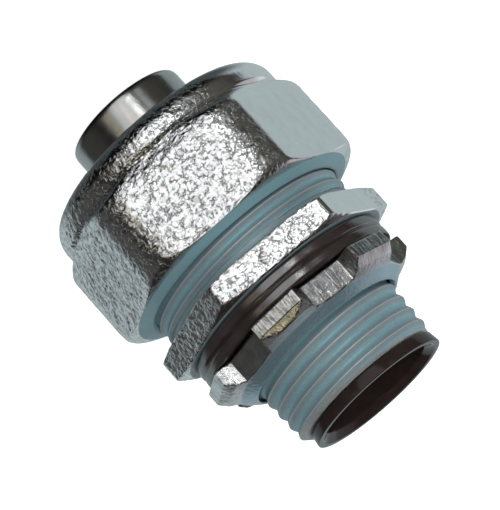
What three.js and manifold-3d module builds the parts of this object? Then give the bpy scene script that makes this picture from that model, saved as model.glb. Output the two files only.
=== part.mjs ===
// A straight conduit compression fitting for liquid-tight flexible conduit, 1/2 inch trade size.
// Millimetres, +Z up. The fitting stands on the open end of its ferrule, with the threaded hub
// that goes through an enclosure wall on top. Z = 0 is the ferrule's open end, and every piece
// shares the Z axis.

import * as THREE from 'three';
import { mergeVertices } from 'three/addons/utils/BufferGeometryUtils.js';
import Module from 'manifold-3d';

const wasm = await Module();
wasm.setup();

// ---------------------------------------------------------------- driving dimensions

const SEGMENTS = 36; // facets round every turned surface and per turn of every thread
const ARC_STEPS = 3; // straight pieces in each rounded edge of a turned profile
const RUNNING_GAP = 0.1; // between pieces that rest on or turn against each other
const PAST = 1; // how far a cutting shape runs past the piece it cuts
const OVERLAP = 0.5; // how far two shapes that are joined run into each other
const TUBE_WALL = 3.5; // from a thread's crest to the inside of its blank, before the bore is cut

// Heights of the faces that place the pieces along the axis.
const GLAND_NUT_BOTTOM = 5.9;
const GLAND_NUT_TOP = 22.7;
const BODY_BOTTOM = 16.3;
const FLANGE_BOTTOM = 26.3;
const FLANGE_TOP = 29.9;
const SEALING_RING_TOP = 32.9;
const HUB_TOP = 44.65;
const THROAT_TOP = 46.25;

// Hub: 14 threads per inch, tapering towards its end.
const HUB_THREAD = {
  pitch: 25.4 / 14,
  crestRadius: 10.5,
  depth: 0.38,
  crestWidth: 0.12,
  taper: 0.0365,
  taperFrom: FLANGE_TOP,
  phase: 29.63,
};

// Gland end: a fine straight thread for the gland nut.
const GLAND_THREAD = {
  pitch: 1.5,
  crestRadius: 13.95,
  depth: 0.36,
  crestWidth: 0.12,
  taper: 0,
  taperFrom: 0,
  phase: 16.06,
};

const THREAD_CLEARANCE = 0.14; // radial and axial, between a nut's thread and its screw

const BODY = {
  boreRadius: 7.9,
  throatSeatRadius: 8.42,
  throatSeatDepth: 5.7,
  cupRadius: 11.3,
  cupTop: 23.9,
  mouthRadius: 12.5,
  mouthTop: 18,
  reliefHeight: 0.8, // of the plain groove between the gland thread and the flange
  reliefDepth: 0.1, // below the thread's root
  hubChamfer: { height: 0.6, width: 0.75 },
  glandChamfer: { height: 0.75, width: 0.95 },
};

const FLANGE = { flatRadius: 14.4, cornerRadius: 1.2, turn: -98, chamferRadius: 14.8, chamfer: 0.7 };

const GLAND_NUT = {
  flatRadius: 16.2,
  cornerRadius: 4.5,
  turn: -90,
  faceRadius: 14.4,
  faceSlope: 0.375, // fall of the turned face per mm of radius
  coneRadius: 16.1, // where the turned face meets the cast corners
  cornerRound: 2.2, // of the cast corners, seen from the side
  hexBottom: 11.3,
  domeTop: 9.9,
  domeRadius: 16.4,
  domeRound: 2.6,
  cornerReach: 18.3, // beyond the hexagon's corners
  edgeChamfer: 0.5, // at the mouth and at the thread's entry
  mouthRadius: 11.15,
  shoulder: 11.1,
  packingRadius: 12.95,
  packingTop: 13.7,
};

const FERRULE = {
  outerRadius: 7.94,
  innerRadius: 7.15,
  lipRound: 0.35,
  innerChamfer: { height: 0.3, width: 0.2 },
  bellChamfer: { height: 0.6, width: 0.4 },
  flangeRadius: 11.05,
  flangeBottom: 22.7,
  neckRound: 0.5,
};

const SLIP_RING = { innerRadius: 11, outerRadius: 12.7, thickness: 0.9 };

const COMPRESSION_RING = {
  innerRadius: 10.8,
  noseRadius: 11.12,
  outerRadius: 12.4,
  height: 5,
  bodyHeight: 1.75,
  noseHeight: 1.45,
};

const SEALING_RING = {
  innerRadius: 10.8,
  outerRadius: 13.93,
  edgeRound: 0.3,
  grooveDepth: 0.35,
  grooveHalf: 0.22,
};

const THROAT = {
  spigotRadius: 7.9,
  innerRadius: 7.45,
  spigotBottom: 39.2,
  collarRadius: 9.4,
  neckRadius: 9.2,
  mouthRadius: 8.6,
  mouthDepth: 2.6,
  mouthCurve: 0.7, // depth at which the mouth's curve would turn square
  lipRound: 0.2,
  offCentre: -0.45, // the liner is pressed in a little off the bore's axis
};

const LOCKNUT = {
  bottom: SEALING_RING_TOP + 0.15,
  thickness: 4.4,
  turn: -80.8,
  lugs: 6,
  lugRadius: 14.35,
  tipHalfWidth: 3.3,
  baseHalfWidth: 3.7,
  notchFlatRadius: 12.3,
  cornerRadius: 14.75,
  tipHeight: 1.75, // of the lug's end face, below its sloping top edge
  tipSlope: 0.7, // fall of that edge's radius per mm of height
  shoulderHeight: 3.15, // where the lugs' upper faces meet the steeper cone inside them
  shoulderRadius: 12.3,
  lugTop: 2.55,
  lugTopRadius: 13.9,
  faceRadius: 10.9,
  edgeChamfer: 0.3,
  entryChamfer: 0.55, // of the threaded bore
  faceLip: 0.2, // from the thread's root to the edge of the bore's upper chamfer
};

// ---------------------------------------------------------------- materials

const zincCasting = new THREE.MeshStandardMaterial({ color: 0xa9adb0, roughness: 0.5, metalness: 0.9 });
const zincSteel = new THREE.MeshStandardMaterial({ color: 0xb9bfc4, roughness: 0.22, metalness: 1 });
const springSteel = new THREE.MeshStandardMaterial({ color: 0xc4c6c4, roughness: 0.35, metalness: 1 });
const nylon = new THREE.MeshStandardMaterial({ color: 0xe2ddcb, roughness: 0.5, metalness: 0 });
const sealRubber = new THREE.MeshStandardMaterial({ color: 0x241d1b, roughness: 0.4, metalness: 0 });
const throatPlastic = new THREE.MeshStandardMaterial({ color: 0x2b201e, roughness: 0.3, metalness: 0 });

// ---------------------------------------------------------------- solids

// A closed geometry as a solid that can be cut and joined, with its faces pointing out.
function toSolid(geometry) {
  const bare = new THREE.BufferGeometry();
  bare.setAttribute('position', geometry.getAttribute('position').clone());
  if (geometry.index) bare.setIndex(geometry.index.clone());
  const merged = mergeVertices(bare, 1e-4);
  const mesh = (triangles) => new wasm.Mesh({
    numProp: 3,
    vertProperties: new Float32Array(merged.getAttribute('position').array),
    triVerts: new Uint32Array(triangles),
  });
  const solid = new wasm.Manifold(mesh(merged.index.array));
  if (solid.volume() > 0) return solid;
  return new wasm.Manifold(mesh(Array.from(merged.index.array).reverse()));
}

function toGeometry(solid) {
  const { vertProperties, triVerts } = solid.getMesh();
  const geometry = new THREE.BufferGeometry();
  geometry.setAttribute('position', new THREE.BufferAttribute(new Float32Array(vertProperties), 3));
  geometry.setIndex(new THREE.BufferAttribute(new Uint32Array(triVerts), 1));
  geometry.computeVertexNormals();
  return geometry;
}

// A profile drawn in a (radius, height) half-plane, turned about the Z axis.
function turned(draw, segments = SEGMENTS) {
  const profile = new THREE.Path();
  draw(profile);
  profile.closePath();
  const geometry = new THREE.LatheGeometry(profile.getPoints(ARC_STEPS), segments);
  return toSolid(geometry.rotateX(Math.PI / 2));
}

// A turned solid whose profile is a plain list of corners.
function turnedCorners(corners, segments = SEGMENTS) {
  return turned((profile) => {
    profile.moveTo(...corners[0]);
    for (const corner of corners.slice(1)) profile.lineTo(...corner);
  }, segments);
}

function extruded(outline, bottom, top, turn, curveSegments = 3) {
  const geometry = new THREE.ExtrudeGeometry(outline, {
    depth: top - bottom,
    bevelEnabled: false,
    curveSegments,
  });
  return toSolid(geometry.rotateZ(THREE.MathUtils.degToRad(turn)).translate(0, 0, bottom));
}

// A regular hexagon with rounded corners and one flat facing along +X.
function hexagon(flatRadius, cornerRadius) {
  const outline = new THREE.Shape();
  const reach = (flatRadius - cornerRadius) / Math.cos(Math.PI / 6);
  for (let corner = 0; corner < 6; corner++) {
    const angle = Math.PI / 6 + (corner * Math.PI) / 3;
    const centre = [reach * Math.cos(angle), reach * Math.sin(angle)];
    outline.absarc(...centre, cornerRadius, angle - Math.PI / 6, angle + Math.PI / 6, false);
  }
  return outline;
}

// A tube with a right-hand thread outside. Its section, with all the teeth in one comb, is drawn as
// a straight bar, and the bar is wound once round the axis while it rises by one pitch, so that
// each tooth meets the next one where the turn closes. The radius shrinks with height by the taper.
// growth fattens the thread, for cutting the matching thread in a nut.
function threadedTube(thread, bottom, top, growth = 0) {
  const { pitch, crestRadius, depth, crestWidth, taper, taperFrom, phase } = thread;
  const crest = crestRadius + growth;
  const crestHalf = crestWidth / 2 + growth;
  const flank = (pitch - crestWidth) / 2 / depth;
  const root = crest - (pitch / 2 - crestHalf) / flank;
  const inner = crestRadius - TUBE_WALL;
  const start = phase + pitch * Math.floor((bottom - phase) / pitch - 1);
  const teeth = Math.ceil((top - start) / pitch) + 1;
  const comb = new THREE.Shape();
  comb.moveTo(inner, -pitch / 2);
  for (let tooth = 0; tooth < teeth; tooth++) {
    comb.lineTo(root, (tooth - 0.5) * pitch);
    comb.lineTo(crest, tooth * pitch - crestHalf);
    comb.lineTo(crest, tooth * pitch + crestHalf);
  }
  comb.lineTo(root, (teeth - 0.5) * pitch);
  comb.lineTo(inner, (teeth - 0.5) * pitch);
  comb.closePath();
  const halfTurn = (first) => {
    const steps = SEGMENTS / 2;
    const geometry = new THREE.ExtrudeGeometry(comb, { depth: steps, steps, bevelEnabled: false });
    const position = geometry.getAttribute('position');
    for (let i = 0; i < position.count; i++) {
      const step = first + Math.round(position.getZ(i));
      const angle = ((step % SEGMENTS) / SEGMENTS) * 2 * Math.PI;
      const height = rounded(start + position.getY(i) + (pitch * step) / SEGMENTS);
      const radius = rounded(position.getX(i) - taper * (height - taperFrom));
      position.setXYZ(i, radius * Math.cos(angle), radius * Math.sin(angle), height);
    }
    return toSolid(geometry);
  };
  const span = turnedCorners([[0, bottom], [crest + PAST, bottom], [crest + PAST, top], [0, top]]);
  return halfTurn(0).add(halfTurn(SEGMENTS / 2)).intersect(span);
}

// Heights and radii of a wound bar keep to a fine grid, so that its two ends meet exactly.
function rounded(value) {
  return Math.round(value * 1e4) / 1e4;
}

function hubCrest(height) {
  return HUB_THREAD.crestRadius - HUB_THREAD.taper * (height - HUB_THREAD.taperFrom);
}

// ---------------------------------------------------------------- pieces

// The cast body: gland thread, hex flange and hub thread in one piece, bored through.
function fittingBody() {
  const b = BODY;
  const reliefBottom = FLANGE_BOTTOM - b.reliefHeight;
  const reliefRadius = GLAND_THREAD.crestRadius - GLAND_THREAD.depth - b.reliefDepth;
  const flangeReach = FLANGE.flatRadius / Math.cos(Math.PI / 6) + PAST;
  const flangeBlank = turnedCorners([
    [0, FLANGE_BOTTOM],
    [FLANGE.chamferRadius, FLANGE_BOTTOM],
    [flangeReach, FLANGE_BOTTOM + FLANGE.chamfer],
    [flangeReach, FLANGE_TOP - FLANGE.chamfer],
    [FLANGE.chamferRadius, FLANGE_TOP],
    [0, FLANGE_TOP],
  ]);
  const relief = turnedCorners([
    [0, reliefBottom],
    [reliefRadius, reliefBottom],
    [reliefRadius, FLANGE_BOTTOM + OVERLAP],
    [0, FLANGE_BOTTOM + OVERLAP],
  ]);
  const glandEnvelope = turnedCorners([
    [0, BODY_BOTTOM],
    [GLAND_THREAD.crestRadius - b.glandChamfer.width, BODY_BOTTOM],
    [GLAND_THREAD.crestRadius, BODY_BOTTOM + b.glandChamfer.height],
    [GLAND_THREAD.crestRadius, FLANGE_BOTTOM],
    [0, FLANGE_BOTTOM],
  ]);
  const chamferBottom = HUB_TOP - b.hubChamfer.height;
  const hubEnvelope = turnedCorners([
    [0, FLANGE_TOP - PAST],
    [HUB_THREAD.crestRadius + PAST, FLANGE_TOP - PAST],
    [HUB_THREAD.crestRadius + PAST, chamferBottom - PAST],
    [hubCrest(chamferBottom), chamferBottom],
    [hubCrest(chamferBottom) - b.hubChamfer.width, HUB_TOP],
    [0, HUB_TOP],
  ]);
  const bore = turnedCorners([
    [0, BODY_BOTTOM - PAST],
    [b.mouthRadius, BODY_BOTTOM - PAST],
    [b.mouthRadius, BODY_BOTTOM],
    [b.cupRadius, b.mouthTop],
    [b.cupRadius, b.cupTop],
    [b.boreRadius, b.cupTop],
    [b.boreRadius, HUB_TOP - b.throatSeatDepth],
    [b.throatSeatRadius, HUB_TOP - b.throatSeatDepth],
    [b.throatSeatRadius, HUB_TOP + PAST],
    [0, HUB_TOP + PAST],
  ]);
  return extruded(hexagon(FLANGE.flatRadius, FLANGE.cornerRadius), FLANGE_BOTTOM, FLANGE_TOP, FLANGE.turn)
    .intersect(flangeBlank)
    .add(relief)
    .add(threadedTube(GLAND_THREAD, BODY_BOTTOM, reliefBottom + OVERLAP).intersect(glandEnvelope))
    .add(threadedTube(HUB_THREAD, FLANGE_TOP - OVERLAP, HUB_TOP).intersect(hubEnvelope))
    .subtract(bore);
}

// The plastic liner pressed into the hub's end, which keeps wires off the iron edge.
function throatInsert() {
  const t = THROAT;
  const edge = t.collarRadius - t.lipRound;
  const solid = turned((profile) => {
    profile.moveTo(t.innerRadius, t.spigotBottom);
    profile.lineTo(t.spigotRadius, t.spigotBottom);
    profile.lineTo(t.spigotRadius, HUB_TOP + RUNNING_GAP);
    profile.lineTo(t.neckRadius, HUB_TOP + RUNNING_GAP);
    profile.absarc(edge, THROAT_TOP - t.lipRound, t.lipRound, 0, Math.PI / 2, false);
    profile.lineTo(t.mouthRadius, THROAT_TOP);
    profile.quadraticCurveTo(
      t.innerRadius, THROAT_TOP - t.mouthCurve,
      t.innerRadius, THROAT_TOP - t.mouthDepth,
    );
  });
  return solid.translate(t.offCentre, 0, 0);
}

// The hexagonal gland nut: a turned face, rounded hex flats and a cast shoulder at its mouth.
function glandNut() {
  const n = GLAND_NUT;
  const coneHeight = GLAND_NUT_TOP - n.faceSlope * (n.coneRadius - n.faceRadius);
  const hexEnvelope = turned((profile) => {
    profile.moveTo(0, n.domeTop);
    profile.lineTo(n.domeRadius, n.domeTop);
    profile.lineTo(n.cornerReach, n.hexBottom);
    profile.lineTo(n.cornerReach, coneHeight - n.cornerRound);
    const arcCentre = [n.cornerReach - n.cornerRound, coneHeight - n.cornerRound];
    profile.absarc(...arcCentre, n.cornerRound, 0, Math.PI / 2, false);
    profile.lineTo(n.faceRadius, GLAND_NUT_TOP);
    profile.lineTo(0, GLAND_NUT_TOP);
  });
  const domeEdge = n.domeRadius - n.domeRound;
  const dome = turned((profile) => {
    profile.moveTo(0, GLAND_NUT_BOTTOM);
    profile.lineTo(domeEdge, GLAND_NUT_BOTTOM);
    profile.absarc(domeEdge, GLAND_NUT_BOTTOM + n.domeRound, n.domeRound, -Math.PI / 2, 0, false);
    profile.lineTo(n.domeRadius, n.domeTop + OVERLAP);
    profile.lineTo(0, n.domeTop + OVERLAP);
  });
  const threadBore = GLAND_THREAD.crestRadius - GLAND_THREAD.depth + THREAD_CLEARANCE;
  const cavity = turnedCorners([
    [0, GLAND_NUT_BOTTOM - PAST],
    [n.mouthRadius + n.edgeChamfer, GLAND_NUT_BOTTOM - PAST],
    [n.mouthRadius + n.edgeChamfer, GLAND_NUT_BOTTOM],
    [n.mouthRadius, GLAND_NUT_BOTTOM + n.edgeChamfer],
    [n.mouthRadius, n.shoulder],
    [n.packingRadius, n.shoulder],
    [n.packingRadius, n.packingTop],
    [threadBore, n.packingTop],
    [threadBore, GLAND_NUT_TOP - n.edgeChamfer],
    [threadBore + 2 * n.edgeChamfer, GLAND_NUT_TOP + n.edgeChamfer],
    [0, GLAND_NUT_TOP + n.edgeChamfer],
  ]);
  return extruded(hexagon(n.flatRadius, n.cornerRadius), n.domeTop, GLAND_NUT_TOP, n.turn)
    .intersect(hexEnvelope)
    .add(dome)
    .subtract(cavity)
    .subtract(threadedTube(GLAND_THREAD, n.packingTop, GLAND_NUT_TOP + PAST, THREAD_CLEARANCE));
}

// The steel grounding ferrule: its tube goes inside the conduit, and its flange stops the
// conduit's cut end against the body.
function ferrule() {
  const f = FERRULE;
  const flangeTop = BODY.cupTop - RUNNING_GAP;
  return turned((profile) => {
    profile.moveTo(f.innerRadius, f.innerChamfer.height);
    profile.lineTo(f.innerRadius + f.innerChamfer.width, 0);
    profile.lineTo(f.outerRadius - f.lipRound, 0);
    profile.absarc(f.outerRadius - f.lipRound, f.lipRound, f.lipRound, -Math.PI / 2, 0, false);
    profile.lineTo(f.outerRadius, f.flangeBottom - f.neckRound);
    const neckCentre = [f.outerRadius + f.neckRound, f.flangeBottom - f.neckRound];
    profile.absarc(...neckCentre, f.neckRound, Math.PI, Math.PI / 2, true);
    profile.lineTo(f.flangeRadius, f.flangeBottom);
    profile.lineTo(f.flangeRadius, flangeTop);
    profile.lineTo(f.innerRadius + f.bellChamfer.width, flangeTop);
    profile.lineTo(f.innerRadius, flangeTop - f.bellChamfer.height);
  });
}

// The thin steel ring that lets the gland nut turn without twisting the seal above it.
function slipRing() {
  const bottom = GLAND_NUT.shoulder + RUNNING_GAP;
  const top = bottom + SLIP_RING.thickness;
  return turnedCorners([
    [SLIP_RING.innerRadius, bottom],
    [SLIP_RING.outerRadius, bottom],
    [SLIP_RING.outerRadius, top],
    [SLIP_RING.innerRadius, top],
  ]);
}

// The nylon ring that is wedged between the body's mouth and the conduit's jacket.
function compressionRing() {
  const c = COMPRESSION_RING;
  const bottom = GLAND_NUT.shoulder + SLIP_RING.thickness + 2 * RUNNING_GAP;
  const top = bottom + c.height;
  return turnedCorners([
    [c.innerRadius, bottom],
    [c.outerRadius, bottom],
    [c.outerRadius, bottom + c.bodyHeight],
    [c.noseRadius, top - c.noseHeight],
    [c.noseRadius, top],
    [c.innerRadius, top],
  ]);
}

// The soft ring that seals the hub's hole in the enclosure wall.
function sealingRing() {
  const s = SEALING_RING;
  const bottom = FLANGE_TOP + RUNNING_GAP;
  const edge = s.outerRadius - s.edgeRound;
  const middle = (bottom + SEALING_RING_TOP) / 2;
  return turned((profile) => {
    profile.moveTo(s.innerRadius, bottom);
    profile.lineTo(edge, bottom);
    profile.absarc(edge, bottom + s.edgeRound, s.edgeRound, -Math.PI / 2, 0, false);
    profile.lineTo(s.outerRadius, middle - s.grooveHalf);
    profile.lineTo(s.outerRadius - s.grooveDepth, middle);
    profile.lineTo(s.outerRadius, middle + s.grooveHalf);
    profile.absarc(edge, SEALING_RING_TOP - s.edgeRound, s.edgeRound, 0, Math.PI / 2, false);
    profile.lineTo(s.innerRadius, SEALING_RING_TOP);
  });
}

// The outline of the locknut: six flat-topped lugs with a flat floor between each pair.
function locknutOutline() {
  const l = LOCKNUT;
  const halfStep = Math.PI / l.lugs;
  const baseRadius = (l.notchFlatRadius - l.baseHalfWidth * Math.sin(halfStep)) / Math.cos(halfStep);
  const lugCorners = [
    [baseRadius, -l.baseHalfWidth],
    [l.lugRadius, -l.tipHalfWidth],
    [l.lugRadius, l.tipHalfWidth],
    [baseRadius, l.baseHalfWidth],
  ];
  const points = [];
  for (let lug = 0; lug < l.lugs; lug++) {
    for (const corner of lugCorners) {
      const point = new THREE.Vector2(...corner);
      points.push(point.rotateAround(new THREE.Vector2(), 2 * lug * halfStep));
    }
  }
  return new THREE.Shape(points);
}

// The dished steel locknut that clamps the enclosure wall against the sealing ring.
function locknut() {
  const l = LOCKNUT;
  const top = l.bottom + l.thickness;
  const envelope = turnedCorners([
    [0, l.bottom],
    [l.cornerRadius - l.edgeChamfer, l.bottom],
    [l.cornerRadius, l.bottom + l.edgeChamfer],
    [l.cornerRadius, l.bottom + l.lugTop - l.edgeChamfer],
    [l.lugTopRadius, l.bottom + l.lugTop],
    [l.shoulderRadius, l.bottom + l.shoulderHeight],
    [l.faceRadius, top],
    [0, top],
  ]);
  // A six-sided cone slopes off the upper edge of each lug's end. Its sides face the lugs.
  const sideToCorner = 1 / Math.cos(Math.PI / l.lugs);
  const coneSide = (height) => l.lugRadius - l.tipSlope * (height - l.tipHeight);
  const tipCone = turnedCorners([
    [0, l.bottom],
    [coneSide(0) * sideToCorner, l.bottom],
    [coneSide(l.thickness) * sideToCorner, top],
    [0, top],
  ], l.lugs);
  const firstSide = -90 + 180 / l.lugs;
  const boreRadius = HUB_THREAD.crestRadius - HUB_THREAD.depth;
  const thread = { ...HUB_THREAD, taper: 0, crestRadius: rounded(hubCrest(l.bottom)) };
  const bore = turnedCorners([
    [0, l.bottom - PAST],
    [thread.crestRadius + l.entryChamfer + PAST, l.bottom - PAST],
    [thread.crestRadius + l.entryChamfer, l.bottom],
    [boreRadius, l.bottom + l.entryChamfer],
    [boreRadius, top - l.entryChamfer],
    [thread.crestRadius + l.faceLip, top],
    [thread.crestRadius + l.faceLip + PAST, top + PAST],
    [0, top + PAST],
  ]);
  return extruded(locknutOutline(), l.bottom, top, l.turn)
    .intersect(envelope)
    .intersect(tipCone.rotate([0, 0, l.turn - firstSide]))
    .subtract(bore)
    .subtract(threadedTube(thread, l.bottom - PAST, top + PAST, THREAD_CLEARANCE));
}

// ---------------------------------------------------------------- assembly

const group = new THREE.Group();

function place(name, solid, material) {
  const mesh = new THREE.Mesh(toGeometry(solid), material);
  mesh.name = name;
  group.add(mesh);
}

place('fitting_body', fittingBody(), zincCasting);
place('throat_insert', throatInsert(), throatPlastic);
place('gland_nut', glandNut(), zincCasting);
place('ferrule', ferrule(), zincSteel);
place('slip_ring', slipRing(), springSteel);
place('compression_ring', compressionRing(), nylon);
place('sealing_ring', sealingRing(), sealRubber);
place('locknut', locknut(), zincSteel);

export default group;
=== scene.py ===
"""The looks of a liquid-tight conduit fitting of the 1/2 inch trade size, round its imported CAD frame.

Every piece is a fine skin of rings round the Z axis. Lengths are in millimetres until a skin
becomes a mesh, and the finished scene is in metres, in the frame's own axes.
"""

import math

import bpy
import numpy as np
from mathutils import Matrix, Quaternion, Vector


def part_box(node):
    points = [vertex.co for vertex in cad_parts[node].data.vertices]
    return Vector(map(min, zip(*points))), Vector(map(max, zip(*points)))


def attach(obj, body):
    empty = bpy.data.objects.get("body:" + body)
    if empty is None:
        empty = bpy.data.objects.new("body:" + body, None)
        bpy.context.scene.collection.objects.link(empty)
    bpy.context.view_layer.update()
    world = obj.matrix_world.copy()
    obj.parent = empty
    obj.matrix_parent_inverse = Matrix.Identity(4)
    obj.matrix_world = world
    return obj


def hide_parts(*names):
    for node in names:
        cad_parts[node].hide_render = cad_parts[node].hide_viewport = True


MM = 0.001
TURN = 2 * math.pi

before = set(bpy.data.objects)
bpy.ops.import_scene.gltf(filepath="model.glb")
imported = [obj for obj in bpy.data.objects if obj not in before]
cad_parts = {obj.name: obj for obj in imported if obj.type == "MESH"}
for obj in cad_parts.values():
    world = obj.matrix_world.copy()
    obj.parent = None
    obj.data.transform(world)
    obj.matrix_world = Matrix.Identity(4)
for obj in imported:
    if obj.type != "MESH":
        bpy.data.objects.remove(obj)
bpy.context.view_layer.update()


def heights(node):
    """The lowest and highest height of a CAD node, in millimetres."""
    low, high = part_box(node)
    return low.z / MM, high.z / MM


def half_width(node):
    """The largest half width of a CAD node along Y, in millimetres."""
    low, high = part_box(node)
    return max(-low.y, high.y) / MM


# ---------------------------------------------------------------- sizes, from the frame

BODY_BOTTOM, HUB_TOP = heights("fitting_body")
NUT_BOTTOM, NUT_TOP = heights("gland_nut")
FERRULE_BOTTOM, FERRULE_TOP = heights("ferrule")
SEAL_BOTTOM, SEAL_TOP = heights("sealing_ring")
SEAL_RADIUS = half_width("sealing_ring")
THROAT_BOTTOM, THROAT_TOP = heights("throat_insert")
LOCKNUT_BOTTOM, LOCKNUT_TOP = heights("locknut")
SEAL_GAP = 0.1
FLANGE_HEIGHT = 3.6
FLANGE_TOP = SEAL_BOTTOM - SEAL_GAP
FLANGE_BOTTOM = FLANGE_TOP - FLANGE_HEIGHT
GLAND_THREAD = {
    "pitch": 1.5,
    "crest": 13.95,
    "depth": 0.36,
    "taper": 0.0,
    "from": 0.0,
    "phase": 16.06,
}
HUB_THREAD = {
    "pitch": 25.4 / 14,
    "crest": 10.5,
    "depth": 0.38,
    "taper": 0.0365,
    "from": FLANGE_TOP,
    "phase": 29.63,
}
HUB_CHAMFER = {"height": 0.6, "width": 0.75}
CREST_WIDTH = 0.04
ROOT_HALF_WIDTH = 0.05
ROUNDNESS = 0.55  # 0 gives a thread straight flanks and 1 gives it a wave's
CUT_OFF = 2.0  # the hollow of a thread's surface where a chamfer has cut its crest off
CUT_TOLERANCE = 0.02
THREAD_CLEARANCE = 0.14
ROW_SNAP = 0.25  # rows nearer to a thread's end than this share of their spacing move to the end
COLUMNS = 540

SMOOTH_SIDE = -150  # direction of the smoothest side of the castings, in degrees
SMOOTH_WITHIN = 22  # degrees to each side of it that are smooth
PEBBLED_BEYOND = 28  # degrees to each side of it where the full relief begins
SMOOTH_RELIEF = 0.12  # share of the relief that the smooth side keeps

# ---------------------------------------------------------------- noise

NOISE_SWING = 1.6  # brings the lattice noise to about -1 to 1
FAR = 9.0  # further than any dot of the cell noise can be, in grid cells


def lattice_noise(points, seed):
    """Smooth gradient noise, about -1 to 1, at points given in units of its own grid."""
    rng = np.random.RandomState(seed)
    table = rng.permutation(256)
    table = np.concatenate([table, table])
    slopes = rng.normal(size=(256, 3))
    slopes /= np.linalg.norm(slopes, axis=1)[:, None]
    cell = np.floor(points).astype(int)
    inside = points - cell
    cell &= 255
    fade = inside**3 * (inside * (inside * 6 - 15) + 10)
    total = np.zeros(len(points))
    for dx in (0, 1):
        for dy in (0, 1):
            for dz in (0, 1):
                corner = table[(table[(cell[:, 0] + dx) & 255] + cell[:, 1] + dy) & 255]
                corner = table[(corner + cell[:, 2] + dz) & 255]
                offset = inside - (dx, dy, dz)
                weight = np.ones(len(points))
                for axis, step in enumerate((dx, dy, dz)):
                    weight *= fade[:, axis] if step else 1 - fade[:, axis]
                total += weight * (slopes[corner] * offset).sum(1)
    return total * NOISE_SWING


def cell_gap(points, seed):
    """How far each point is from the border between the two nearest of one random dot per grid cell."""
    rng = np.random.RandomState(seed)
    dots = rng.random_sample((32, 32, 32, 3))
    cell = np.floor(points).astype(int)
    nearest = np.full(len(points), FAR)
    second = np.full(len(points), FAR)
    for dx in (-1, 0, 1):
        for dy in (-1, 0, 1):
            for dz in (-1, 0, 1):
                at = cell + (dx, dy, dz)
                dot = at + dots[at[:, 0] & 31, at[:, 1] & 31, at[:, 2] & 31]
                distance = np.linalg.norm(points - dot, axis=1)
                second = np.minimum(second, np.maximum(nearest, distance))
                nearest = np.minimum(nearest, distance)
    return second - nearest


def ease(value, low, high):
    """0 below low, 1 above high and a smooth step between them."""
    t = np.clip((value - low) / (high - low), 0, 1)
    return t * t * (3 - 2 * t)


def soft_min(a, b, blend):
    """The smaller of two lengths, rounded off where they are within blend of each other."""
    h = np.clip(0.5 + 0.5 * (b - a) / blend, 0, 1)
    return b + (a - b) * h - blend * h * (1 - h)


# ---------------------------------------------------------------- skins


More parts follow.
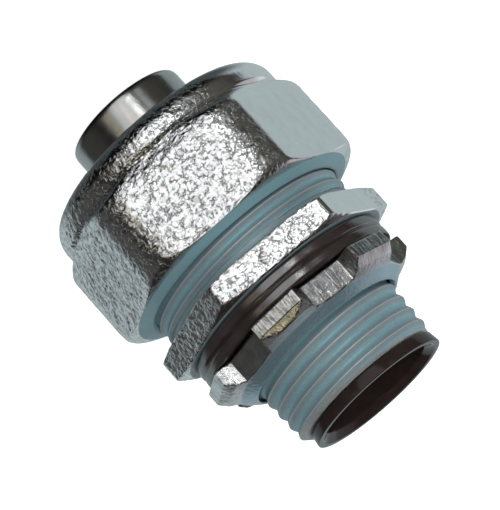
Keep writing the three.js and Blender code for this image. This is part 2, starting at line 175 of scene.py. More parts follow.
class Skin:
    """A closed surface made of rings of points round the Z axis, each joined to the one before."""

    def __init__(self, columns=COLUMNS):
        self.columns = columns
        self.angles = np.arange(columns) * TURN / columns
        self.points = []
        self.hollow = []
        self.quads = []
        self.quad_materials = []
        self.count = 0
        self.material = 0
        self.first = None
        self.last = None
        self.centre = 0.0

    def add_points(self, radius, height, angle, hollow=0.0):
        """Adds points, with how deep in the relief each lies, and returns their numbers."""
        radius, height, angle, hollow = np.broadcast_arrays(radius, height, angle, hollow)
        self.points.append(np.c_[radius * np.cos(angle), radius * np.sin(angle), height])
        self.hollow.append(np.array(hollow, float))
        index = np.arange(len(radius)) + self.count
        self.count += len(radius)
        return index

    def add_quads(self, quads):
        """Adds faces of four points each, in the present material."""
        self.quads.append(quads)
        self.quad_materials.append(np.full(len(quads), self.material))

    def join(self, index):
        """Joins a ring of points to the last one."""
        if self.last is None:
            self.first = index
        else:
            after = np.roll(self.last, -1)
            self.add_quads(np.c_[self.last, after, np.roll(index, -1), index])
        self.last = index

    def ring(self, radius, height, hollow=0.0):
        """One ring. Radius, height and hollow are each one number or one for each column."""
        self.join(self.add_points(radius, height, self.angles, hollow))

    def path(self, corners, step=0.5):
        """Plain rings along straight lines from the last ring's place through the corners."""
        for (r0, z0), (r1, z1) in zip(corners, corners[1:]):
            parts = max(1, math.ceil(math.hypot(r1 - r0, z1 - z0) / step))
            for part in range(1, parts + 1):
                t = part / parts
                self.ring(r0 + (r1 - r0) * t, z0 + (z1 - z0) * t)

    def thread(self, thread, bottom, top, rows_per_pitch, limit, growth=0.0, down=False):
        """Rows that climb with the thread, cut off flat at bottom and top.

        limit(angle, height) is the largest radius that the part allows there. growth widens the
        thread into the bore of a nut, and down lays the rows from the top to the bottom.
        """
        pitch = thread["pitch"]
        step = pitch / rows_per_pitch
        start = thread["phase"] + pitch * math.floor((bottom - thread["phase"]) / pitch - 1)
        rows = math.ceil((top - start) / step) + rows_per_pitch + 1
        height = start + step * np.arange(rows)[:, None] + pitch * np.arange(self.columns) / self.columns
        low = (height <= bottom + step * ROW_SNAP).sum(0) - 1
        high = (height < top - step * ROW_SNAP).sum(0)
        row = np.clip(np.arange(rows)[:, None], low, high)
        height = np.clip(np.where(row == low, bottom, np.where(row == high, top, height)), bottom, top)
        used = (np.arange(rows)[:, None] >= low) & (np.arange(rows)[:, None] <= high)
        angle = np.broadcast_to(self.angles, height.shape)
        radius, hollow = thread_radius(thread, angle, height, growth)
        allowed = limit(angle, height)
        hollow = np.where(allowed < radius - CUT_TOLERANCE, CUT_OFF, hollow)
        radius = np.minimum(radius, allowed)
        index = np.full(height.shape, -1)
        index[used] = self.add_points(radius[used], height[used], angle[used], hollow[used])
        index = np.take_along_axis(index, row, 0)
        seam = index[np.minimum(np.arange(rows) + rows_per_pitch, rows - 1), 0]
        wide = np.c_[index, seam]
        quads = np.stack([wide[:-1, :-1], wide[:-1, 1:], wide[1:, 1:], wide[1:, :-1]], -1).reshape(-1, 4)
        ends = index[0], index[-1]
        if down:
            quads = quads[:, ::-1]
            ends = ends[::-1]
        self.join(ends[0])
        self.add_quads(quads)
        self.last = ends[1]

    def finish(self, name, body, nodes, materials, sharp_angle=38):
        """Closes the surface and makes it a piece that rides on body and stands for the nodes."""
        self.join(self.first)
        points = (np.concatenate(self.points) + (self.centre, 0, 0)) * MM
        quads = np.concatenate(self.quads)
        material_index = np.concatenate(self.quad_materials)
        a, b, c = (points[quads[:, i]] for i in range(3))
        d = points[quads[:, 3]]
        volume = (np.cross(a, b) * c).sum() + (np.cross(a, c) * d).sum()
        if volume < 0:
            quads = quads[:, ::-1]
        faces = []
        kept = []
        for number, quad in enumerate(quads.tolist()):
            corners = [v for i, v in enumerate(quad) if v != quad[i - 1]]
            if len(corners) > 2 and len(set(corners)) == len(corners):
                faces.append(corners)
                kept.append(number)
        mesh = bpy.data.meshes.new(name)
        mesh.from_pydata(points.tolist(), [], faces)
        for material in materials:
            mesh.materials.append(material)
        mesh.polygons.foreach_set("material_index", material_index[kept].astype(np.int32))
        mesh.polygons.foreach_set("use_smooth", np.ones(len(faces), bool))
        for attribute, values in (("hollow", np.concatenate(self.hollow)), ("pebbled", pebbling(points))):
            layer = mesh.attributes.new(attribute, "FLOAT", "POINT")
            layer.data.foreach_set("value", values.astype(np.float32))
        mesh.update()
        mesh.set_sharp_from_angle(angle=math.radians(sharp_angle))
        piece = bpy.data.objects.new(name, mesh)
        bpy.context.scene.collection.objects.link(piece)
        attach(piece, body)
        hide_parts(*nodes)
        return piece


def thread_radius(thread, angle, height, growth=0.0):
    """The thread's radius, and how deep between two crests each point lies, from 0 to 1."""
    pitch = thread["pitch"]
    turns = (height - thread["phase"]) / pitch - angle / TURN
    from_crest = np.abs(turns - np.round(turns)) * pitch
    flat = CREST_WIDTH / 2 + growth
    slope = np.clip((from_crest - flat) / (pitch / 2 - flat - ROOT_HALF_WIDTH), 0, 1)
    drop = (1 - ROUNDNESS) * slope + ROUNDNESS * ease(slope, 0, 1)
    crest = thread["crest"] + growth - thread["taper"] * (height - thread["from"])
    return crest - thread["depth"] * drop, drop


def hexagon(angles, flat_radius, corner_radius, turn):
    """The radius of a hexagon with rounded corners. One flat faces the angle turn, in degrees."""
    from_flat = (angles - math.radians(turn) + TURN / 12) % (TURN / 6) - TURN / 12
    centre = (flat_radius - corner_radius) / math.cos(TURN / 12)
    flat_end = math.atan2(centre * math.sin(TURN / 12), flat_radius)
    from_corner = TURN / 12 - np.abs(from_flat)
    inside = np.clip(corner_radius**2 - (centre * np.sin(from_corner)) ** 2, 0, None)
    corner = centre * np.cos(from_corner) + np.sqrt(inside)
    return np.where(np.abs(from_flat) < flat_end, flat_radius / np.cos(from_flat), corner)


def edge_drop(distance, radius):
    """How far a rounded edge falls back from its corner, at a distance from the face."""
    short = np.clip(radius - distance, 0, radius)
    return radius - np.sqrt(radius**2 - short**2)


def pebbling(points):
    """How strongly each point is pebbled: the plating has filled the relief on one side of the casting."""
    from_smooth = np.arccos(np.cos(np.arctan2(points[:, 1], points[:, 0]) - math.radians(SMOOTH_SIDE)))
    return SMOOTH_RELIEF + (1 - SMOOTH_RELIEF) * ease(np.degrees(from_smooth), SMOOTH_WITHIN, PEBBLED_BEYOND)


def cast_relief(angles, radius, height, seed):
    """The sand-cast, thickly plated surface: lumps with narrow crevices between them, 0 to 1 deep."""
    warp_size, plate_size, lump_size, patch_size = 0.8, 0.75, 0.52, 1.1
    plate_warp, lump_warp = 0.4, 0.5
    crevice_width = 0.42
    crevice_share, lump_share = 0.42, 0.58
    points = np.c_[radius * np.cos(angles), radius * np.sin(angles), np.broadcast_to(height, angles.shape)]
    warp = np.stack([lattice_noise(points / warp_size + shift, seed) for shift in (0, 17, 41)], 1)
    gap = cell_gap((points + plate_warp * warp) / plate_size, seed)
    crevice = 1 - ease(gap, 0.0, crevice_width)
    lumps = 0.5 + 0.5 * lattice_noise(points / lump_size + warp * lump_warp, seed + 2)
    patch = ease(lattice_noise(points / patch_size, seed + 3), -0.4, 0.5)
    depth = np.clip(crevice_share * crevice * patch + lump_share * lumps, 0, 1)
    return depth * pebbling(points)


# ---------------------------------------------------------------- materials


class Nodes:
    """A node material in the making."""

    def __init__(self, name):
        self.material = bpy.data.materials.new(name)
        self.material.use_nodes = True
        self.tree = self.material.node_tree
        self.shader = self.tree.nodes["Principled BSDF"]
        self.place = self.tree.nodes.new("ShaderNodeTexCoord").outputs["Object"]

    def node(self, kind, **settings):
        """A new node of a kind, with its own settings."""
        made = self.tree.nodes.new(kind)
        for key, value in settings.items():
            setattr(made, key, value)
        return made

    def link(self, source, target):
        """Joins an output socket to an input socket."""
        self.tree.links.new(source, target)

    def noise(self, size_mm, detail=3.0, rough=0.55, stretch=(1, 1, 1)):
        """Noise whose features are about size_mm across."""
        mapping = self.node("ShaderNodeMapping")
        mapping.inputs["Scale"].default_value = [s / (size_mm * MM) for s in stretch]
        self.link(self.place, mapping.inputs["Vector"])
        texture = self.node("ShaderNodeTexNoise")
        texture.inputs["Scale"].default_value = 1.0
        texture.inputs["Detail"].default_value = detail
        texture.inputs["Roughness"].default_value = rough
        self.link(mapping.outputs["Vector"], texture.inputs["Vector"])
        return texture.outputs["Fac"]

    def drift(self, size_mm, low, high):
        """A grey that drifts between low and high in clouds about size_mm across."""
        return self.ramp(self.noise(size_mm), [(0.3, low), (0.7, high)])

    def crevices(self, size_mm):
        """Plates about size_mm across, 1 high, with broken narrow gaps between them that fall to 0."""
        warp, warp_scale = 1.1, 1.7
        mapping = self.node("ShaderNodeMapping")
        mapping.inputs["Scale"].default_value = [1 / (size_mm * MM)] * 3
        self.link(self.place, mapping.inputs["Vector"])
        bend = self.node("ShaderNodeTexNoise")
        bend.inputs["Scale"].default_value = warp_scale
        bend.inputs["Detail"].default_value = 3.0
        self.link(mapping.outputs["Vector"], bend.inputs["Vector"])
        bent = self.node("ShaderNodeVectorMath", operation="MULTIPLY_ADD")
        bent.inputs[1].default_value = (warp,) * 3
        self.link(bend.outputs["Color"], bent.inputs[0])
        self.link(mapping.outputs["Vector"], bent.inputs[2])
        cells = self.node("ShaderNodeTexVoronoi", feature="DISTANCE_TO_EDGE")
        cells.inputs["Scale"].default_value = 1.0
        self.link(bent.outputs["Vector"], cells.inputs["Vector"])
        plates = self.ramp(cells.outputs["Distance"], [(0.0, 0.0), (0.10, 0.62), (0.26, 1.0)])
        broken = self.ramp(self.noise(size_mm * 1.1, 2.0), [(0.42, 0.0), (0.62, 1.0)])
        return self.mix(broken, (1, 1, 1), plates)

    def attribute(self, name):
        """A value that a skin stores at each point: hollow or pebbled."""
        return self.node("ShaderNodeAttribute", attribute_name=name).outputs["Fac"]

    def ramp(self, source, stops):
        """A colour or grey ramp. stops is a list of (place, colour or grey)."""
        ramp = self.node("ShaderNodeValToRGB")
        elements = ramp.color_ramp.elements
        while len(elements) < len(stops):
            elements.new(0.5)
        for element, (place, colour) in zip(elements, stops):
            element.position = place
            rgb = (colour,) * 3 if isinstance(colour, (int, float)) else colour
            element.color = (*rgb, 1)
        self.link(source, ramp.inputs["Fac"])
        return ramp.outputs["Color"]

    def mix(self, factor, a, b, blend="MIX"):
        """A blend of two colours. Each of the three inputs is a socket or a constant."""
        node = self.node("ShaderNodeMix", data_type="RGBA", blend_type=blend)
        for value, socket in ((factor, node.inputs[0]), (a, node.inputs[6]), (b, node.inputs[7])):
            if isinstance(value, bpy.types.NodeSocket):
                self.link(value, socket)
            else:
                socket.default_value = value if isinstance(value, (int, float)) else (*value, 1)
        return node.outputs[2]

    def bump(self, *layers):
        """Bumps from (height socket, depth in mm) pairs, laid over each other."""
        normal = None
        for height, depth in layers:
            bump = self.node("ShaderNodeBump")
            bump.inputs["Strength"].default_value = 1.0
            bump.inputs["Distance"].default_value = depth * MM
            self.link(height, bump.inputs["Height"])
            if normal:
                self.link(normal, bump.inputs["Normal"])
            normal = bump.outputs["Normal"]
        self.link(normal, self.shader.inputs["Normal"])

    def set(self, **values):
        """Sets or links the shader's inputs and returns the finished material."""
        for key, value in values.items():
            socket = self.shader.inputs[key.replace("_", " ")]
            if isinstance(value, bpy.types.NodeSocket):
                self.link(value, socket)
            elif isinstance(value, tuple):
                socket.default_value = (*value, 1)
            else:
                socket.default_value = value
        return self.material


def cast_zinc():
    """Bright plated iron as cast: light plates with narrow crevices and patches of dull plating, with
    painted shade darkening the deepest hollows of the relief.
    """
    m = Nodes("cast_zinc")
    bright, greyer, crevice_shade = (0.93, 0.93, 0.92), (0.82, 0.84, 0.85), (0.62, 0.60, 0.58)
    plate_size, lump_size, grain_size = 0.55, 0.34, 0.12
    plate_depth, lump_depth, grain_depth = 0.036, 0.022, 0.004
    # Painted shade: the colour turns darker where the cast relief is deepest, in the crevices between the
    # lumps.
    deep = m.ramp(m.attribute("hollow"), [(0.5, 0.0), (0.95, 1.0)])
    colour = m.mix(deep, m.mix(m.noise(2.5), bright, greyer), crevice_shade)
    pebbled = m.attribute("pebbled")
    plates = m.mix(pebbled, (1, 1, 1), m.crevices(plate_size))
    lumps = m.mix(pebbled, (0.5, 0.5, 0.5), m.noise(lump_size, 2.0, 0.5))
    m.bump((plates, plate_depth), (lumps, lump_depth), (m.noise(grain_size, 2.0), grain_depth))
    roughness = m.drift(1.2, low=0.13, high=0.22)
    return m.set(Base_Color=colour, Metallic=1.0, Roughness=roughness)


def turned_zinc():
    """Machined and plated threads and faces: satin, with the blue-green cast of clear chromate, a painted
    highlight along each crest and painted shade on the slopes beside it.

    The hollow attribute is 0 on a crest, 1 in a valley and 2 where a chamfer has bared the metal.
    """
    m = Nodes("turned_zinc")
    half = m.node("ShaderNodeMath", operation="MULTIPLY")
    half.inputs[1].default_value = 0.5
    m.link(m.attribute("hollow"), half.inputs[0])
    deep = half.outputs["Value"]
    # Painted light: the thin pale crest colour is a painted highlight and the darker mauve-grey flank colour
    # is painted shade. The teal valley and the bared metal are the plating's own colours.
    crest = (0.66, 0.70, 0.70)
    flank_shade = (0.28, 0.36, 0.39)
    valley = (0.27, 0.49, 0.54)
    bared = (0.62, 0.63, 0.61)
    dull = (0.38, 0.41, 0.43)
    stops = [(0.0, crest), (0.004, crest), (0.014, flank_shade), (0.20, flank_shade)]
    stops += [(0.38, valley), (0.52, valley), (0.62, bared)]
    tint = m.ramp(deep, stops)
    clouds = m.ramp(m.noise(1.1, 5.0, 0.65), [(0.42, 0.0), (0.75, 0.55)])
    grain = m.ramp(m.noise(0.16, 3.0, 0.6), [(0.35, 0.78), (0.7, 1.0)])
    colour = m.mix(1.0, m.mix(clouds, tint, dull), grain, "MULTIPLY")
    m.bump((m.noise(0.35, 4.0, 0.6), 0.03), (m.noise(0.12), 0.016))
    roughness = m.drift(0.9, low=0.36, high=0.5)
    metallic = m.ramp(deep, [(0.52, 0.40), (0.62, 0.65)])
    return m.set(Base_Color=colour, Metallic=metallic, Roughness=roughness)


def tube_steel():
    """The ferrule's drawn and polished steel."""
    m = Nodes("tube_steel")
    streaks = m.noise(0.5, 3.0, 0.5, (1, 1, 0.08))
    colour = m.mix(streaks, (0.52, 0.52, 0.50), (0.42, 0.43, 0.42))
    m.bump((streaks, 0.003), (m.noise(0.8), 0.012))
    roughness = m.drift(1.5, low=0.18, high=0.27)
    return m.set(Base_Color=colour, Metallic=1.0, Roughness=roughness)


def pressed_zinc():
    """The locknut's pressed steel: grey sides with fine upright marks, a mauve-grey to teal face.

    The hollow attribute is 0 on the sides, half on the outer face and 1 on the inner face.
    """
    m = Nodes("pressed_zinc")
    clouds = m.ramp(m.noise(1.6, 4.0), [(0.35, 0.0), (0.7, 1.0)])
    upright = (1, 1, 0.1)
    side = m.mix(clouds, (0.74, 0.75, 0.74), (0.48, 0.49, 0.50))
    outer = m.mix(clouds, (0.72, 0.68, 0.70), (0.58, 0.60, 0.63))
    inner = m.mix(clouds, (0.30, 0.46, 0.53), (0.37, 0.48, 0.53))
    face = m.mix(m.ramp(m.attribute("hollow"), [(0.6, 0.0), (0.95, 1.0)]), outer, inner)
    colour = m.mix(m.ramp(m.attribute("hollow"), [(0.1, 0.0), (0.45, 1.0)]), side, face)
    m.bump((m.noise(0.5, 3.0, 0.6), 0.06), (m.noise(0.45, 3.0, 0.6, upright), 0.06))
    roughness = m.drift(0.8, low=0.15, high=0.27)
    metallic = m.ramp(m.attribute("hollow"), [(0.2, 1.0), (0.8, 0.75)])
    return m.set(Base_Color=colour, Metallic=metallic, Roughness=roughness)


def moulded(name, colour, paler, roughness, shine, ior, grain_mm, lines_mm=0.0):
    """Moulded plastic or rubber with a faint skin. lines_mm is the depth of fine lines round the axis."""
    m = Nodes(name)
    mixed = m.mix(m.ramp(m.noise(2.2, 4.0), [(0.35, 0.0), (0.75, 1.0)]), colour, paler)
    m.bump((m.noise(grain_mm, 3.0), 0.1 * roughness), (m.noise(0.3, 3.0, 0.6, (0.06, 0.06, 1)), lines_mm))
    rough = m.drift(1.3, low=roughness, high=1.6 * roughness + 0.02)
    m.shader.inputs["Specular IOR Level"].default_value = shine
    m.shader.inputs["IOR"].default_value = ior
    return m.set(Base_Color=mixed, Metallic=0.0, Roughness=rough)


CAST = cast_zinc()
TURNED = turned_zinc()
TUBE = tube_steel()
PRESSED = pressed_zinc()
RUBBER = moulded(
    "seal_rubber",
    colour=(0.022, 0.014, 0.013),
    paler=(0.040, 0.026, 0.024),
    roughness=0.12,
    shine=0.5,
    ior=2.4,
    grain_mm=0.5,
    lines_mm=0.04,
)
THROAT = moulded(
    "throat_plastic",
    colour=(0.020, 0.013, 0.012),
    paler=(0.030, 0.020, 0.018),
    roughness=0.03,
    shine=0.24,
    ior=1.5,
    grain_mm=1.2,
)
NYLON = moulded(
    "nylon",
    colour=(0.70, 0.67, 0.58),
    paler=(0.78, 0.75, 0.66),
    roughness=0.4,
    shine=0.5,
    ior=1.5,
    grain_mm=0.4,
)

# ---------------------------------------------------------------- pieces


def rows(low, high, step):
    """Even heights or radii from low to high, at most step apart."""
    return np.linspace(low, high, max(2, math.ceil((high - low) / step) + 1))


def unlimited(angle, height):
    """The limit of a thread that nothing cuts off."""
    return np.full(np.shape(height), np.inf)


def gland_nut():
    """The cast gland nut: rounded hex, domed shoulder, turned upper face, threaded bore."""
    skin = Skin()
    flat_radius, corner_radius, turn = 16.25, 5.6, -90
    dome_radius, dome_round, dome_top = 16.38, 2.6, NUT_BOTTOM + 4.0
    dome_slope, dome_blend = 1.37, 0.7
    face_radius, face_slope = 14.4, 0.375
    cone_radius, corner_round = 16.1, 2.2
    step_fall, step_reach = 0.32, 2.4
    step_below, step_above = 0.25, 0.35
    relief, relief_fade = 0.16, 0.5
    row_step = 0.15
    cast_seed = 11
    face_hollow = 0.85
    thread_mouth, thread_start = 14.14, 0.1
    pocket_radius, hole_radius = 12.95, 11.15
    mouth_radius, edge_radius = 11.65, 11.5
    thread_bottom, pocket_bottom, hole_bottom, edge_height = 13.7, 11.1, 6.4, 6.05  # from Z = 0
    outline = hexagon(skin.angles, flat_radius, corner_radius, turn)
    skin.material = 0

    def cast_ring(radius, height, amount=1.0):
        """A ring of the cast surface, with a share of the full relief."""
        hollow = cast_relief(skin.angles, radius, height, cast_seed)
        skin.ring(radius - relief * amount * hollow, height, hollow)

    for radius in rows(mouth_radius, dome_radius - dome_round, 0.25):
        cast_ring(radius, NUT_BOTTOM, 0.0)
    for turned in np.linspace(0, TURN / 4, 26)[1:]:
        radius = dome_radius - dome_round + dome_round * math.sin(turned)
        height = NUT_BOTTOM + dome_round * (1 - math.cos(turned))
        cast_ring(radius, height)
    side_bottom = NUT_BOTTOM + dome_round
    side_top = NUT_TOP - face_slope * (cone_radius - face_radius)
    arc_bottom = side_top - corner_round

    def side(height):
        """The radius all round at a height: the round dome below, the hexagon above it."""
        spread = dome_radius + dome_slope * (height - dome_top)
        hexed = soft_min(outline, np.maximum(spread, 0), dome_blend)
        hexed = hexed - step_fall * (1 - ease(height, dome_top, dome_top + step_reach))
        hexed_share = ease(height, dome_top - step_below, dome_top + step_above)
        return dome_radius + (hexed - dome_radius) * hexed_share

    for height in rows(side_bottom, arc_bottom, row_step)[1:]:
        cast_ring(side(height), height)
    for turned in np.linspace(0, TURN / 4, 22)[1:]:
        height = arc_bottom + corner_round * math.sin(turned)
        corner = cone_radius + corner_round * math.cos(turned)
        radius = soft_min(outline, corner, 0.1 + 0.5 * math.cos(turned))
        cast_ring(np.minimum(radius, corner), height, np.clip((side_top - height) / relief_fade, 0.1, 1))
    skin.material = 1
    for radius in rows(face_radius, cone_radius, row_step)[::-1][1:]:
        skin.ring(radius, NUT_TOP - face_slope * (radius - face_radius), face_hollow)
    skin.path([(face_radius, NUT_TOP), (thread_mouth, NUT_TOP)])
    skin.thread(
        GLAND_THREAD,
        thread_bottom,
        NUT_TOP - thread_start,
        rows_per_pitch=5,
        limit=unlimited,
        growth=THREAD_CLEARANCE,
        down=True,
    )
    skin.path(
        [
            (GLAND_THREAD["crest"] - GLAND_THREAD["depth"] + THREAD_CLEARANCE, thread_bottom),
            (pocket_radius, thread_bottom),
            (pocket_radius, pocket_bottom),
            (hole_radius, pocket_bottom),
            (hole_radius, hole_bottom),
            (edge_radius, edge_height),
        ]
    )
    return skin.finish("gland_nut_skin", "gland_nut", ["gland_nut"], [CAST, TURNED])


def fitting_body():
    """The cast body: gland thread, hex flange with cast sides, hub thread, through bore."""
    skin = Skin()
    groove_radius, groove_height, groove_hollow = 13.49, 0.8, 0.5
    start_radius, start_slope, run_out_slope = 13.0, 1.27, 2.6
    flange_flat, flange_corner, flange_turn = 14.4, 1.2, -98
    chamfer_radius, chamfer_slope, chamfer_blend = 14.8, 3.71, 0.3
    edge, face_hollow = 0.28, 0.4
    relief, cast_seed = 0.14, 23
    groove_row_step, side_row_step, side_margin = 0.15, 0.13, 0.03
    groove_foot, groove_head = 0.05, 0.2
    face_start, hub_foot = groove_radius + 0.15, 10.7
    seat_radius, seat_depth = 8.42, 5.7
    wireway_radius, ferrule_seat, mouth_radius = 7.9, 11.3, 12.5
    shoulder, mouth_top = 23.9, 18.0  # heights from Z = 0
    skin.material = 1

    def gland_limit(angle, height):
        """The gland thread's chamfer at its start and its run-out into the groove."""
        start = start_radius + start_slope * (height - BODY_BOTTOM)
        run_out = groove_radius + run_out_slope * np.clip(FLANGE_BOTTOM - groove_height - height, 0, None)
        return np.minimum(start, run_out)

    groove_bottom = FLANGE_BOTTOM - groove_height
    skin.thread(GLAND_THREAD, BODY_BOTTOM, groove_bottom, rows_per_pitch=12, limit=gland_limit)
    for height in rows(groove_bottom + groove_foot, FLANGE_BOTTOM - groove_head, groove_row_step):
        skin.ring(groove_radius, height, groove_hollow)
    outline = hexagon(skin.angles, flange_flat, flange_corner, flange_turn)
    face_end = soft_min(outline, chamfer_radius, chamfer_blend) - edge
    for share in np.linspace(0, 1, 8):
        skin.ring(face_start + (face_end - face_start) * share, FLANGE_BOTTOM, face_hollow)
    skin.material = 0
    for height in rows(FLANGE_BOTTOM + side_margin, FLANGE_TOP - side_margin, side_row_step):
        below, above = height - FLANGE_BOTTOM, FLANGE_TOP - height
        radius = soft_min(outline, chamfer_radius + chamfer_slope * min(below, above), chamfer_blend)
        radius = radius - edge_drop(below, edge) - edge_drop(above, edge)
        hollow = cast_relief(skin.angles, radius, height, cast_seed)
        skin.ring(radius - relief * hollow, height, hollow)
    skin.material = 1
    for share in np.linspace(0, 1, 12):
        skin.ring(face_end + (hub_foot - face_end) * share, FLANGE_TOP, face_hollow)
    ragged_radius = 9
    coarse_relief, coarse_size, coarse_seed = 0.05, 0.5, 5
    fine_relief, fine_size, fine_seed = 0.03, 0.2, 6
    end_chamfer = HUB_TOP - HUB_CHAMFER["height"]
    end_slope = HUB_CHAMFER["width"] / HUB_CHAMFER["height"]
    end_crest = HUB_THREAD["crest"] - HUB_THREAD["taper"] * (end_chamfer - FLANGE_TOP)

    def hub_limit(angle, height):
        """The hub's end chamfer, a little ragged where it crosses the thread."""
        around = ragged_radius * np.stack([np.cos(angle), np.sin(angle), 0 * angle], -1).reshape(-1, 3)
        coarse = coarse_relief * lattice_noise(around / coarse_size, coarse_seed)
        fine = fine_relief * lattice_noise(around / fine_size, fine_seed)
        ragged = (coarse + fine).reshape(angle.shape)
        fade = np.clip((HUB_TOP - height) / HUB_CHAMFER["height"], 0, 1)
        return end_crest - end_slope * (height - end_chamfer) + ragged * fade

    skin.thread(HUB_THREAD, FLANGE_TOP, HUB_TOP, rows_per_pitch=16, limit=hub_limit)
    skin.path(
        [
            (end_crest - HUB_CHAMFER["width"], HUB_TOP),
            (seat_radius, HUB_TOP),
            (seat_radius, HUB_TOP - seat_depth),
            (wireway_radius, HUB_TOP - seat_depth),
            (wireway_radius, shoulder),
            (ferrule_seat, shoulder),
            (ferrule_seat, mouth_top),
            (mouth_radius, BODY_BOTTOM),
        ],
        1.0,
    )
    return skin.finish("fitting_body_skin", "fitting", ["fitting_body"], [CAST, TURNED])


def lathe(name, body, node, material, corners, round_edges=0.12):
    """A turned piece from its profile, with every corner rounded. It is centred on its CAD node."""
    columns, arc_points, longest_step = 360, 6, 0.6
    largest_cut = 0.45  # the share of a side that one rounded corner may use up
    low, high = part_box(node)
    skin = Skin(columns)
    skin.centre = (low.x + high.x) / 2 / MM
    points = [np.array(c, float) for c in corners]
    outline = []
    for before, here, after in zip([points[-1], *points], points, [*points[1:], points[0]]):
        back, ahead = before - here, after - here
        back_length, ahead_length = np.linalg.norm(back), np.linalg.norm(ahead)
        start = here + back / back_length * min(round_edges, largest_cut * back_length)
        end = here + ahead / ahead_length * min(round_edges, largest_cut * ahead_length)
        for t in np.linspace(0, 1, arc_points):
            outline.append((1 - t) ** 2 * start + 2 * t * (1 - t) * here + t**2 * end)
    for here, after in zip(outline, [*outline[1:], outline[0]]):
        parts = max(1, math.ceil(np.linalg.norm(after - here) / longest_step))
        for part in range(parts):
            radius, height = here + (after - here) * part / parts
            skin.ring(radius, height)
    return skin.finish(name, body, [node], [material])


def ferrule():
    """The steel sleeve: a tube that goes into the conduit, with a flange inside the body."""
    bore, tube, flange, flange_height = 7.15, 7.94, 11.05, 1.1
    return lathe(
        "ferrule_tube",
        "ferrule",
        "ferrule",
        TUBE,
        [
            (bore, FERRULE_BOTTOM),
            (tube, FERRULE_BOTTOM),
            (tube, FERRULE_TOP - flange_height),
            (flange, FERRULE_TOP - flange_height),
            (flange, FERRULE_TOP),
            (bore, FERRULE_TOP),
        ],
        round_edges=0.9,
    )


def sealing_ring():
    """The soft ring with a groove round the middle of its rim."""
    bore, groove_depth, groove_half = 10.8, 0.35, 0.22
    middle = (SEAL_BOTTOM + SEAL_TOP) / 2
    return lathe(
        "sealing_ring_skin",
        "sealing_ring",
        "sealing_ring",
        RUBBER,
        [
            (bore, SEAL_BOTTOM),
            (SEAL_RADIUS, SEAL_BOTTOM),
            (SEAL_RADIUS, middle - groove_half),
            (SEAL_RADIUS - groove_depth, middle),
            (SEAL_RADIUS, middle + groove_half),
            (SEAL_RADIUS, SEAL_TOP),
            (bore, SEAL_TOP),
        ],
        round_edges=0.3,
    )


def throat_insert():
    """The plastic liner: a spigot inside the hub and a collar with a flared mouth above it."""
    bore, spigot, neck, collar = 7.45, 7.9, 9.2, 9.4
    mouth, flare_foot, flare_height, bore_depth = 8.6, 7.6, 0.8, 2.6
    collar_bottom = HUB_TOP + 0.1
    return lathe(
        "throat_insert_skin",
        "fitting",
        "throat_insert",
        THROAT,
        [
            (bore, THROAT_BOTTOM),
            (spigot, THROAT_BOTTOM),
            (spigot, collar_bottom),
            (neck, collar_bottom),
            (collar, THROAT_TOP),
            (mouth, THROAT_TOP),
            (flare_foot, THROAT_TOP - flare_height),
            (bore, THROAT_TOP - bore_depth),
        ],
        round_edges=0.16,
    )


def slip_ring():
    """The thin steel ring under the nut's pocket."""
    bore, rim = 11, 12.7
    low, high = heights("slip_ring")
    corners = [(bore, low), (rim, low), (rim, high), (bore, high)]
    return lathe("slip_ring_skin", "packing", "slip_ring", TUBE, corners)


def compression_ring():
    """The nylon ring, with the cone that the body's mouth squeezes."""
    bore, rim, tip = 10.8, 12.4, 11.12
    rim_height, tip_height = 1.75, 1.45
    low, high = heights("compression_ring")
    return lathe(
        "compression_ring_skin",
        "packing",
        "compression_ring",
        NYLON,
        [
            (bore, low),
            (rim, low),
            (rim, low + rim_height),
            (tip, high - tip_height),
            (tip, high),
            (bore, high),
        ],
    )


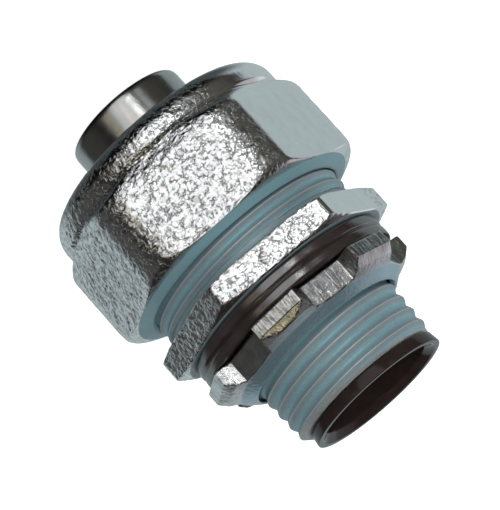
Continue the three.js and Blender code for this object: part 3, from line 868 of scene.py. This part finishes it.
def locknut():
    """The dished steel locknut with its six lugs."""
    lugs, turn, notch_flat = 6, -80.8, 12.3
    lug_radius, corner_radius, tip_half, base_half = 14.35, 14.75, 3.3, 3.7
    bottom, top = LOCKNUT_BOTTOM, LOCKNUT_TOP
    tip_height, tip_slope = bottom + 1.75, 0.7
    profile_heights = (bottom, tip_height, bottom + 2.75, bottom + 3.3, top)
    profile_radii = (corner_radius, corner_radius, 13.65, 12.3, 10.9)
    teal_within, teal_fade = 12.7, 0.7
    entry_radius, face_bore, lip_radius, lip_height = 11.0, 10.8, 10.62, 0.04
    entry_height, exit_depth = 0.4, 0.55
    edge, corner_blend, row_step = 0.22, 0.12, 0.09
    skin = Skin(720)
    from_lug = (skin.angles - math.radians(turn) + TURN / 12) % (TURN / lugs) - TURN / 12
    base = (notch_flat - base_half * math.sin(TURN / 12)) / math.cos(TURN / 12)
    lean = (base_half - tip_half) / (lug_radius - base)
    across = np.abs(np.sin(from_lug)) + lean * np.cos(from_lug)
    lug_side = (tip_half + lean * lug_radius) / across
    notch_floor = notch_flat / np.cos(TURN / 12 - np.abs(from_lug))

    def outline(tip):
        """The radius all round, where the lugs' flat ends are tip from the axis."""
        return soft_min(tip / np.cos(from_lug), np.maximum(lug_side, notch_floor), corner_blend)

    def side_ring(height):
        """A ring of the lugged sides, the bevels and the dished upper face."""
        lugged = outline(lug_radius - max(0, tip_slope * (height - tip_height)))
        turned = np.interp(height, profile_heights, profile_radii)
        radius = soft_min(lugged, turned, corner_blend) - edge_drop(height - bottom, edge)
        face = ease(lugged - turned, 0.0, 0.08)
        inner = 0.5 + 0.5 * ease(teal_within - radius, 0, teal_fade)
        skin.ring(radius, height, inner * face)

    foot = outline(lug_radius) - edge
    for share in np.linspace(0, 1, 9):
        skin.ring(entry_radius + (foot - entry_radius) * share, bottom)
    for height in [bottom + 0.04, bottom + 0.11, *rows(bottom + edge, top - lip_height, row_step)]:
        side_ring(height)
    skin.ring(face_bore, top, 1.0)
    skin.ring(lip_radius, top - lip_height, 1.0)
    straight = {**HUB_THREAD, "taper": 0.0}
    skin.thread(
        straight,
        bottom + entry_height,
        top - exit_depth,
        rows_per_pitch=8,
        limit=unlimited,
        growth=THREAD_CLEARANCE,
        down=True,
    )
    return skin.finish("locknut_skin", "locknut", ["locknut"], [PRESSED])


gland_nut()
fitting_body()
ferrule()
sealing_ring()
throat_insert()
slip_ring()
compression_ring()
locknut()

# ---------------------------------------------------------------- camera, floor and light

TARGET = Vector((0, 0, 0.02336))
ELEVATION = math.radians(13.9)
ROLL = math.radians(138.2)
DISTANCE = 0.350
LENS_MM = 212.2
SENSOR_MM = 36

back = Vector((0, -math.cos(ELEVATION), math.sin(ELEVATION)))
camera_data = bpy.data.cameras.new("camera")
camera_data.lens = LENS_MM
camera_data.sensor_width = SENSOR_MM
camera_data.sensor_fit = "HORIZONTAL"
camera_data.clip_start = 0.01
camera_data.clip_end = 50
camera = bpy.data.objects.new("camera", camera_data)
camera.location = TARGET + back * DISTANCE
camera.rotation_mode = "QUATERNION"
camera.rotation_quaternion = (-back).to_track_quat("-Z", "Y") @ Quaternion((0, 0, 1), ROLL)
bpy.context.scene.collection.objects.link(camera)
bpy.context.scene.camera = camera


def studio_floor():
    """A white sheet just under the fitting. It glows, and it neither shades nor shows in the metal."""
    size, depth, glow = 3.0, 0.0002, 0.93
    mesh = bpy.data.meshes.new("studio_floor")
    corners = [(-size, -size, 0), (size, -size, 0), (size, size, 0), (-size, size, 0)]
    mesh.from_pydata(corners, [], [(0, 1, 2, 3)])
    floor = bpy.data.objects.new("studio_floor", mesh)
    bpy.context.scene.collection.objects.link(floor)
    m = Nodes("studio_floor")
    m.shader.inputs["Emission Color"].default_value = (1, 1, 1, 1)
    m.shader.inputs["Emission Strength"].default_value = glow
    mesh.materials.append(m.set(Base_Color=(0.5, 0.5, 0.5), Roughness=0.9))
    floor.visible_glossy = False
    floor.visible_diffuse = False
    floor.visible_shadow = False
    floor.location.z = -depth


# What the metal reflects. Azimuth (0 is towards the lens and 90 is +X), elevation, full bright and
# outer half angles in degrees, and colour, of each round lamp or soft glow.
LAMPS = (
    (-6, -14, 18, 27, (1.03, 1.05, 1.07)),  # the main light, seen in the front flats
    (27, -14, 4, 11, (0.62, 0.56, 0.44)),
    (-24, -14, 1.6, 2.8, (16.0, 16.0, 16.0)),  # small and strong, for the dark pieces
    (-4, -15, 1.2, 2.4, (3.0, 1.6, 1.2)),
    (-45, -15, 3, 8, (0.75, 0.80, 0.84)),
    (-60, 0, 10, 50, (0.060, 0.057, 0.047)),  # glows that lift the darkest sides
    (82, 0, 10, 40, (0.05, 0.05, 0.05)),
    (24, 57, 4, 9, (1.6, 1.42, 0.92)),  # in the bevel of the lug that faces the lens
    (-123, 32, 14, 32, (0.42, 0.40, 0.42)),  # on the locknut's upper side
)


def studio_world():
    """Surroundings that the metal reflects: a dim room round the lens, pale behind, with the lamps.

    Dull surfaces see a plain soft gradient instead, and the lens sees white.
    """
    world = bpy.data.worlds.new("studio")
    bpy.context.scene.world = world
    world.use_nodes = True
    tree = world.node_tree
    tree.nodes.clear()
    direction = tree.nodes.new("ShaderNodeTexCoord").outputs["Generated"]

    def facing(azimuth, elevation):
        """The cosine of the angle between each direction and the one given, in degrees."""
        a, e = math.radians(azimuth), math.radians(elevation)
        dot = tree.nodes.new("ShaderNodeVectorMath")
        dot.operation = "DOT_PRODUCT"
        dot.inputs[1].default_value = (math.sin(a) * math.cos(e), -math.cos(a) * math.cos(e), math.sin(e))
        tree.links.new(direction, dot.inputs[0])
        return dot.outputs["Value"]

    def ramp(source, low, high, stops):
        """The colour for each cosine, from stops placed between low (0) and high (1)."""
        scale = tree.nodes.new("ShaderNodeMapRange")
        scale.inputs["From Min"].default_value = low
        scale.inputs["From Max"].default_value = high
        tree.links.new(source, scale.inputs["Value"])
        node = tree.nodes.new("ShaderNodeValToRGB")
        node.color_ramp.interpolation = "EASE"
        elements = node.color_ramp.elements
        while len(elements) < len(stops):
            elements.new(0.5)
        for element, (place, colour) in zip(elements, stops):
            element.position = place
            element.color = (*colour, 1)
        tree.links.new(scale.outputs["Result"], node.inputs["Fac"])
        return node.outputs["Color"]

    def lamp(azimuth, elevation, inner, outer, colour):
        """A round soft lamp, full bright within inner degrees and gone past outer degrees."""
        low, high = math.cos(math.radians(outer)), math.cos(math.radians(inner))
        return ramp(facing(azimuth, elevation), low, high, [(0.0, (0, 0, 0)), (1.0, colour)])

    def combine(first, second, blend):
        """Two colours added or multiplied."""
        node = tree.nodes.new("ShaderNodeMix")
        node.data_type = "RGBA"
        node.blend_type = blend
        node.inputs[0].default_value = 1.0
        tree.links.new(first, node.inputs[6])
        tree.links.new(second, node.inputs[7])
        return node.outputs[2]

    def background(colour):
        """Light of one colour, or of the colour that a socket gives."""
        node = tree.nodes.new("ShaderNodeBackground")
        if isinstance(colour, tuple):
            node.inputs["Color"].default_value = (*colour, 1)
        else:
            tree.links.new(colour, node.inputs["Color"])
        return node.outputs["Background"]

    def choose(ray, otherwise, chosen):
        """One light for one kind of ray, and another for the rest."""
        node = tree.nodes.new("ShaderNodeMixShader")
        tree.links.new(rays.outputs[ray], node.inputs[0])
        tree.links.new(otherwise, node.inputs[1])
        tree.links.new(chosen, node.inputs[2])
        return node.outputs["Shader"]

    rays = tree.nodes.new("ShaderNodeLightPath")
    # The room is dim within 110 degrees of a point above the lens, and pale beyond 121 degrees.
    light = ramp(
        facing(3, 26),
        math.cos(math.radians(121)),
        math.cos(math.radians(110)),
        [
            (0.0, (0.42, 0.49, 0.505)),
            (0.4, (0.30, 0.34, 0.35)),
            (0.6, (0.06, 0.057, 0.054)),
            (1.0, (0.021, 0.020, 0.019)),
        ],
    )
    # It is darker still round the point straight below the fitting.
    straight_down = ramp(
        facing(0, -90),
        math.cos(math.radians(65)),
        math.cos(math.radians(45)),
        [(0.0, (1, 1, 1)), (1.0, (0.15, 0.15, 0.15))],
    )
    light = combine(light, straight_down, "MULTIPLY")
    for azimuth, elevation, inner, outer, colour in LAMPS:
        light = combine(light, lamp(azimuth, elevation, inner, outer, colour), "ADD")
    soft = ramp(facing(-20, 25), -0.4, 1.0, [(0.0, (0.24, 0.25, 0.26)), (1.0, (1.30, 1.33, 1.35))])
    surface = choose("Is Diffuse Ray", background(light), background(soft))
    white = background((1.0, 1.0, 1.0))
    surface = choose("Is Camera Ray", surface, white)
    tree.links.new(surface, tree.nodes.new("ShaderNodeOutputWorld").inputs["Surface"])


studio_floor()
studio_world()
bpy.context.scene.view_settings.view_transform = "Standard"
